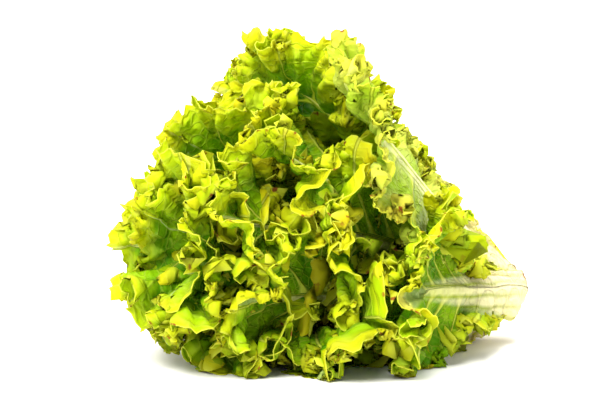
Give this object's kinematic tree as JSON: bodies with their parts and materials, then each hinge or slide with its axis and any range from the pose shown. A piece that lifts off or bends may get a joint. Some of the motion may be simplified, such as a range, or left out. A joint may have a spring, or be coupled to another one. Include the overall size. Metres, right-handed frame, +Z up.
{
  "type": "batavia lettuce",
  "caption": "Loose frilly green lettuce head, cut and lying on its side, of separate waved leaves on a short pale stem.",
  "frame": {"origin": "middle of the base of the head's bounding box, on the surface it lies on", "axes": "+X from the frilled end towards the cut butt, +Y away from the front, +Z up from the surface"},
  "size_m": [0.2608, 0.2316, 0.1921],
  "materials": {
    "leaf": "satin leaf, yellow-green blade and pale midrib",
    "stem": "moist cream cut stem"
  },
  "bodies": {
    "root": {"leaf_01": "leaf", "leaf_02": "leaf", "leaf_03": "leaf", "leaf_04": "leaf", "leaf_05": "leaf", "leaf_06": "leaf", "leaf_07": "leaf", "leaf_08": "leaf", "leaf_09": "leaf", "leaf_10": "leaf", "leaf_11": "leaf", "leaf_12": "leaf", "leaf_13": "leaf", "leaf_14": "leaf", "leaf_15": "leaf", "leaf_16": "leaf", "leaf_17": "leaf", "leaf_18": "leaf", "leaf_19": "leaf", "leaf_20": "leaf", "leaf_21": "leaf", "leaf_22": "leaf", "leaf_23": "leaf", "leaf_24": "leaf", "leaf_25": "leaf", "leaf_26": "leaf", "leaf_27": "leaf", "leaf_28": "leaf", "stem": "stem"}
  },
  "joints": []
}
